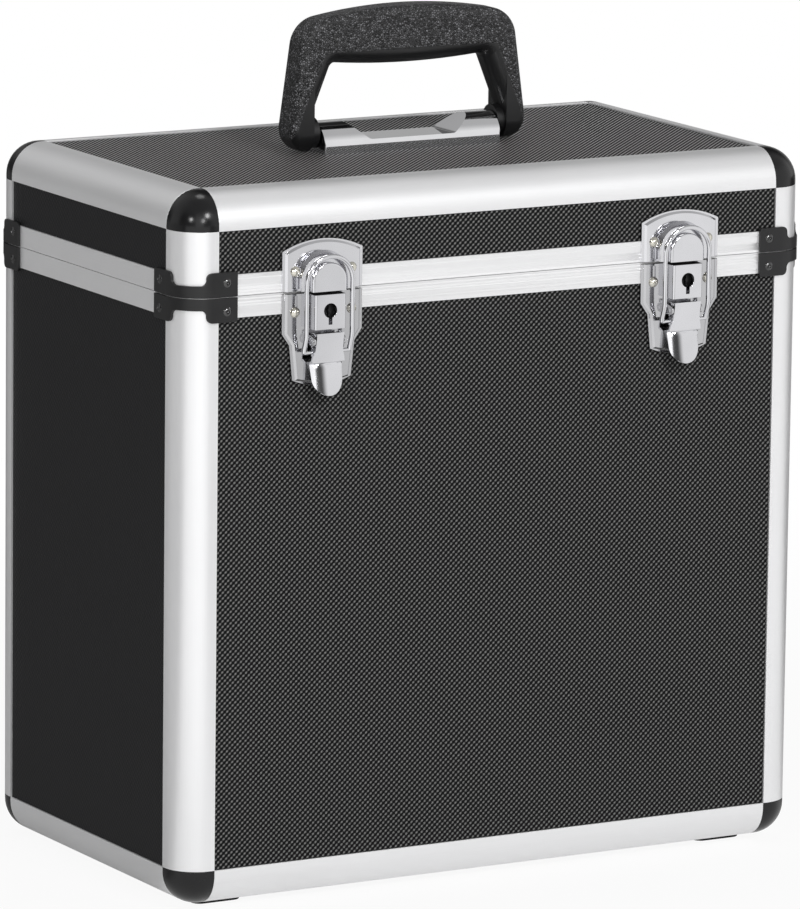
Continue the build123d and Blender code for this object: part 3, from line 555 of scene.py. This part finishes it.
def only(piece):
    if bpy.context.object and bpy.context.object.mode != "OBJECT":
        bpy.ops.object.mode_set(mode="OBJECT")
    bpy.ops.object.select_all(action="DESELECT")
    piece.select_set(True)
    bpy.context.view_layer.objects.active = piece


def modify(piece, kind, **settings):
    only(piece)
    modifier = piece.modifiers.new(kind.lower(), kind)
    for key, value in settings.items():
        setattr(modifier, key, value)
    bpy.ops.object.modifier_apply(modifier=modifier.name)


def rounded(piece, edge, segments, sharp):
    modify(piece, "BEVEL", width=edge, segments=segments, limit_method="ANGLE",
           angle_limit=math.radians(sharp))


def joined(piece, part):
    only(part)
    piece.select_set(True)
    bpy.context.view_layer.objects.active = piece
    bpy.ops.object.join()


def finishUp(piece, material, nodeName, smooth):
    only(piece)
    bpy.ops.object.shade_smooth_by_angle(angle=math.radians(smooth))
    modify(piece, "WEIGHTED_NORMAL", keep_sharp=True, weight=100)
    piece.data.materials.clear()
    piece.data.materials.append(finishes[material])
    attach(piece, bodyOf[nodeName])
    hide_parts(nodeName)
    return piece


def softened(pieceName, nodeName, material, edge, segments, smooth=rounding["smooth"]):
    # a copy of the solid with its edges rounded
    piece = bpy.data.objects.new(pieceName, nodes[nodeName].data.copy())
    scene.collection.objects.link(piece)
    only(piece)
    bpy.ops.object.mode_set(mode="EDIT")
    bpy.ops.mesh.select_all(action="SELECT")
    bpy.ops.mesh.remove_doubles(threshold=rounding["weld"])
    bpy.ops.mesh.dissolve_limited(angle_limit=math.radians(rounding["flat"]))
    bpy.ops.object.mode_set(mode="OBJECT")
    if piece.data.has_custom_normals:
        bpy.ops.mesh.customdata_custom_splitnormals_clear()
    rounded(piece, edge, segments, rounding["sharp"])
    return finishUp(piece, material, nodeName, smooth)


def dress(nodeName, material):
    piece = nodes[nodeName]
    piece.data.materials.clear()
    piece.data.materials.append(finishes[material])


# panels
for part in ("base", "lid"):
    for side, material in (("front", "panelFront"), ("back", "panelFront"),
                           ("left", "panelSide"), ("right", "panelSide")):
        dress(f"{part}_{side}_panel", material)
dress("lid_top_panel", "panelTop")
dress("base_bottom_panel", "panelTop")
print("panels dressed")

# profiles: each side's metal streaks run along it
profiles = {"edge": 0.25 * mm, "segments": 2}
sideMetal = {"front": "aluminiumX", "back": "aluminiumX", "left": "aluminiumY",
             "right": "aluminiumY"}
for part in ("base", "lid"):
    softened(part + "Uprights", part + "_upright_edges", "aluminiumZ", **profiles)
for side, material in sideMetal.items():
    softened("topProfile" + side.title(), "lid_top_edge_" + side, material, **profiles)
softened("bottomProfiles", "base_bottom_edges", "aluminiumX", **profiles)
print("profiles made")

# belts, with fine V-shaped lines along the front and back ones
belts = {"edge": 0.18 * mm, "segments": 2}
ribs = {
    "heights": (1.4, 3.0, 4.6, 6.2, 7.8, 9.4),    # from the seam, mm
    "halfWidth": 0.25 * mm,
    "depth": 0.1 * mm,
    "heightSlack": 0.01 * mm,  # how near a point is to count as on the line
    "faceSlack": 0.02 * mm,    # and as on the belt's face
}


def ribbed(piece, upward, face, look):
    only(piece)
    bpy.ops.object.mode_set(mode="EDIT")
    for height in look["heights"]:
        middle = (seam + upward * height) * mm
        for offset in (-look["halfWidth"], 0.0, look["halfWidth"]):
            bpy.ops.mesh.select_all(action="SELECT")
            bpy.ops.mesh.bisect(plane_co=(0, 0, middle + offset), plane_no=(0, 0, 1))
        bpy.ops.mesh.select_all(action="DESELECT")
        mesh = bmesh.from_edit_mesh(piece.data)
        for vertex in mesh.verts:
            onLine = abs(vertex.co.z - middle) < look["heightSlack"]
            vertex.select = onLine and abs(vertex.co.y - face) < look["faceSlack"]
        mesh.select_flush(True)
        bmesh.update_edit_mesh(piece.data)
        bpy.ops.transform.translate(value=(0, math.copysign(look["depth"], -face), 0))
    bpy.ops.object.mode_set(mode="OBJECT")


ribbedFace = {"front": -beltFace * mm, "back": beltFace * mm}
for part, upward in (("base", -1), ("lid", 1)):
    for side, material in sideMetal.items():
        belt = softened(part + side.title() + "Belt", f"{part}_{side}_belt", material, **belts)
        if side in ribbedFace:
            ribbed(belt, upward, ribbedFace[side], ribs)
print("belts made")

# ball corners, seam brackets with their rivets, and feet
ballCorner = {"edge": 0.35 * mm, "segments": 3, "smooth": 50}
seamBracket = {"edge": 0.4 * mm, "segments": 3}
bracketRivet = {"edge": 0.15 * mm, "segments": 2}
foot = {"edge": 0.8 * mm, "segments": 3}
for part in ("base", "lid"):
    softened(part + "BallCorners", part + "_ball_corners", "cornerBlack", **ballCorner)
    softened(part + "SeamBrackets", part + "_seam_brackets", "bracketBlack", **seamBracket)
    softened(part + "BracketRivets", part + "_bracket_rivets", "rivetBlack", **bracketRivet)
softened("feetPads", "feet", "rubber", **foot)
dress("foot_screws", "steel")
print("corners and brackets made")

# hinges
hingeLeaf = {"edge": 0.2 * mm, "segments": 2}
hingeRivet = {"edge": 0.1 * mm, "segments": 2}
for part in ("base", "lid"):
    softened(part + "HingeLeaves", part + "_hinge_leaves", "steel", **hingeLeaf)
    softened(part + "HingeRivets", part + "_hinge_rivets", "steel", **hingeRivet)
dress("hinge_pins", "steel")
print("hinges made")

# linings
dress("base_lining", "felt")
dress("lid_lining", "felt")
print("linings dressed")

# latches, in mm: across from the latch's middle, up from the seam, out from the belts
pressedPart = {"edge": 0.6 * mm, "segments": 4}
lockHousing = {"edge": 0.5 * mm, "segments": 4}
latchRivet = {"edge": 0.1 * mm, "segments": 2}
latch = {
    "tongueFrom": 5.05,        # the tongue stands on the boss, this far out,
    "tongueWider": 1.1,        # and is this much wider than its solid
    "gaps": ((-1.5, 0.6), (-22.0, -19.3)),    # heights whose level walls get painted shade
    "level": 0.9,              # how level such a wall is, from 0 to 1
}


def latchPoint(side, across, up, out):
    middle = -latchMiddle if side == "left" else latchMiddle
    return Vector((middle + across, -beltFace - out, seam + up)) * mm


def paintGapShade(piece, look):
    # level walls inside the gaps get a second, dark material: painted shade
    piece.data.materials.append(finishes["gapPaintedShade"])
    for face in piece.data.polygons:
        up = face.center.z / mm - seam
        inGap = any(low < up < high for low, high in look["gaps"])
        if inGap and abs(face.normal.z) > look["level"]:
            face.material_index = 1


def widenTongue(piece, side, look):
    middle = latchPoint(side, 0, 0, 0).x
    for vertex in piece.data.vertices:
        if -vertex.co.y / mm - beltFace > look["tongueFrom"]:
            vertex.co.x = middle + (vertex.co.x - middle) * look["tongueWider"]


hoop = {
    "half": 13.6,
    "archUp": 5.2,
    "out": 8.72,
    "lean": 0.05,              # how fast it leans out above the seam
    "knee": -22.0,
    "pivotUp": -31.8,
    "pivotOut": 6.2,
    "radius": 1.3,
    "rodSteps": 6,
    "pinRadius": 1.0,
    "pinInner": 7.0,
    "pinSides": 24,
    "legSteps": 8,
    "archSteps": 36,
    "edge": 0.35 * mm,
    "segments": 3,
    "sharp": 50,
    "smooth": 40,
}


def hoopPath(look):
    leg = []
    for i in range(look["legSteps"] + 1):
        share = i / look["legSteps"]
        ease = share * share * (3 - 2 * share)
        leg.append((look["half"], look["pivotUp"] + (look["knee"] - look["pivotUp"]) * share,
                    look["pivotOut"] + (look["out"] - look["pivotOut"]) * ease))
    leg.append((look["half"], 0.0, look["out"]))
    arch = []
    for i in range(look["archSteps"] + 1):
        turn = math.pi * i / look["archSteps"]
        up = look["archUp"] + look["half"] * math.sin(turn)
        arch.append((look["half"] * math.cos(turn), up, look["out"] + look["lean"] * up))
    return leg + arch + [(-across, up, out) for across, up, out in reversed(leg)]


def makeHoop(side, look):
    path = hoopPath(look)
    line = bpy.data.curves.new("hoop" + side.title(), "CURVE")
    line.dimensions = "3D"
    line.bevel_depth = look["radius"] * mm
    line.bevel_resolution = look["rodSteps"]
    line.use_fill_caps = True
    spline = line.splines.new("POLY")
    spline.points.add(len(path) - 1)
    for point, place in zip(spline.points, path):
        point.co = (*latchPoint(side, *place), 1)
    piece = bpy.data.objects.new(line.name, line)
    scene.collection.objects.link(piece)
    only(piece)
    bpy.ops.object.convert(target="MESH")
    length = look["half"] - look["pinInner"]
    for way in (-1, 1):
        across = way * (look["half"] + look["pinInner"]) / 2
        bpy.ops.mesh.primitive_cylinder_add(
            vertices=look["pinSides"], radius=look["pinRadius"] * mm, depth=length * mm,
            location=latchPoint(side, across, look["pivotUp"], look["pivotOut"]),
            rotation=(0, math.pi / 2, 0))
        pin = bpy.context.object
        bpy.ops.object.transform_apply(location=True, rotation=True, scale=True)
        joined(piece, pin)
    rounded(piece, look["edge"], look["segments"], look["sharp"])
    return finishUp(piece, "chrome", "hoop_" + side, look["smooth"])


lever = {
    # rows of the bent plate: up, half width, out, share of the tab's crown
    "plate": ((-21.6, 7.9, 10.6, 0), (-22.1, 8.0, 10.6, 0), (-26.0, 8.0, 9.9, 0),
              (-30.4, 8.1, 9.1, 0), (-32.0, 8.5, 8.8, 0), (-34.5, 9.3, 8.35, 0),
              (-36.6, 9.7, 8.0, 0), (-37.3, 9.75, 7.85, 0), (-37.6, 9.75, 7.6, 0.1),
              (-37.9, 9.75, 7.2, 0.5), (-38.4, 9.7, 7.3, 0.9), (-39.2, 9.6, 7.75, 1)),
    "tipUp": -54.8,
    "tipHalf": 9.2,
    "tipOut": 10.5,
    "tabRows": 5,              # from the plate down to the round tip
    "tipTurns": (10, 20, 30, 40, 50, 60, 70, 80, 86),    # rows round the tip, degrees
    "crown": 19.0,             # radius across the tab
    "columns": 24,
    "wall": 1.2,
    "cheekHalf": 8.0,
    "cheekUp": (-22.1, -34.3),
    "cheekFront": (10.0, 7.75),    # inside the plate's wall, above and below
    "cheekBack": 4.0,
    "edge": 0.45 * mm,
    "segments": 3,
    "sharp": 50,
    "smooth": 45,
}


def leverRows(look):
    startUp, startHalf, startOut, _ = look["plate"][-1]
    centreUp = look["tipUp"] + look["tipHalf"]
    tab = []
    for i in range(1, look["tabRows"] + 1):
        up = centreUp + (startUp - centreUp) * (1 - i / look["tabRows"])
        share = (startUp - up) / (startUp - centreUp)
        tab.append((up, startHalf + (look["tipHalf"] - startHalf) * share))
    for turn in map(math.radians, look["tipTurns"]):
        tab.append((centreUp - look["tipHalf"] * math.sin(turn), look["tipHalf"] * math.cos(turn)))
    rows = list(look["plate"])
    for up, half in tab:
        out = startOut + (look["tipOut"] - startOut) * (startUp - up) / (startUp - look["tipUp"])
        rows.append((up, half, out, 1))
    return rows


def addCheek(piece, side, way, look):
    top, low = look["cheekUp"]
    frontTop, frontLow = look["cheekFront"]
    middle = latchPoint(side, way * (look["cheekHalf"] - look["wall"] / 2), (top + low) / 2,
                        (frontTop + look["cheekBack"]) / 2)
    bpy.ops.mesh.primitive_cube_add(size=1, location=middle, scale=(
        look["wall"] * mm, (frontTop - look["cheekBack"]) * mm, (top - low) * mm))
    cheek = bpy.context.object
    bpy.ops.object.transform_apply(location=True, rotation=True, scale=True)
    for vertex in cheek.data.vertices:
        if vertex.co.y < middle.y and vertex.co.z < middle.z:
            vertex.co.y = latchPoint(side, 0, 0, frontLow).y
    joined(piece, cheek)


def makeLever(side, look):
    rows = leverRows(look)
    bpy.ops.mesh.primitive_grid_add(x_subdivisions=look["columns"],
                                    y_subdivisions=len(rows) - 1, size=2, location=(0, 0, 0))
    piece = bpy.context.object
    piece.name = "lever" + side.title()
    for vertex in piece.data.vertices:
        up, half, out, crown = rows[round((1 - vertex.co.y) / 2 * (len(rows) - 1))]
        across = vertex.co.x * half
        drop = crown * (look["crown"] - math.sqrt(look["crown"] ** 2 - across ** 2))
        vertex.co = latchPoint(side, across, up, out - drop)
    modify(piece, "SOLIDIFY", thickness=look["wall"] * mm, offset=-1.0)
    for way in (-1, 1):
        addCheek(piece, side, way, look)
    rounded(piece, look["edge"], look["segments"], look["sharp"])
    return finishUp(piece, "chrome", "lever_" + side, look["smooth"])


for side in ("left", "right"):
    title = side.title()
    catch = softened("catch" + title, "catch_" + side, "chrome", **pressedPart)
    widenTongue(catch, side, latch)
    plate = softened("latchPlate" + title, "latch_plate_" + side, "chromePlateShaded", **pressedPart)
    lock = softened("lockHousing" + title, "lock_housing_" + side, "chrome", **lockHousing)
    for pressed in (catch, plate, lock):
        paintGapShade(pressed, latch)
    makeLever(side, lever)
    makeHoop(side, hoop)
    dress("lock_core_" + side, "lockPaintedShade")
softened("latchRivetsBase", "base_latch_rivets", "rivetBright", **latchRivet)
softened("latchRivetsLid", "lid_latch_rivets", "rivetBright", **latchRivet)
dress("lever_pins", "chrome")
print("latches made")

# handle
handleBracket = {"edge": 0.4 * mm, "segments": 3}
handleGrip = {"edge": 0.3 * mm, "segments": 2}
softened("handleBracket", "handle_bracket", "mirror", **handleBracket)
dress("bracket_screws", "steel")
dress("handle_pivots", "steel")
softened("handleGrip", "handle_grip", "grip", **handleGrip)
print("handle made")
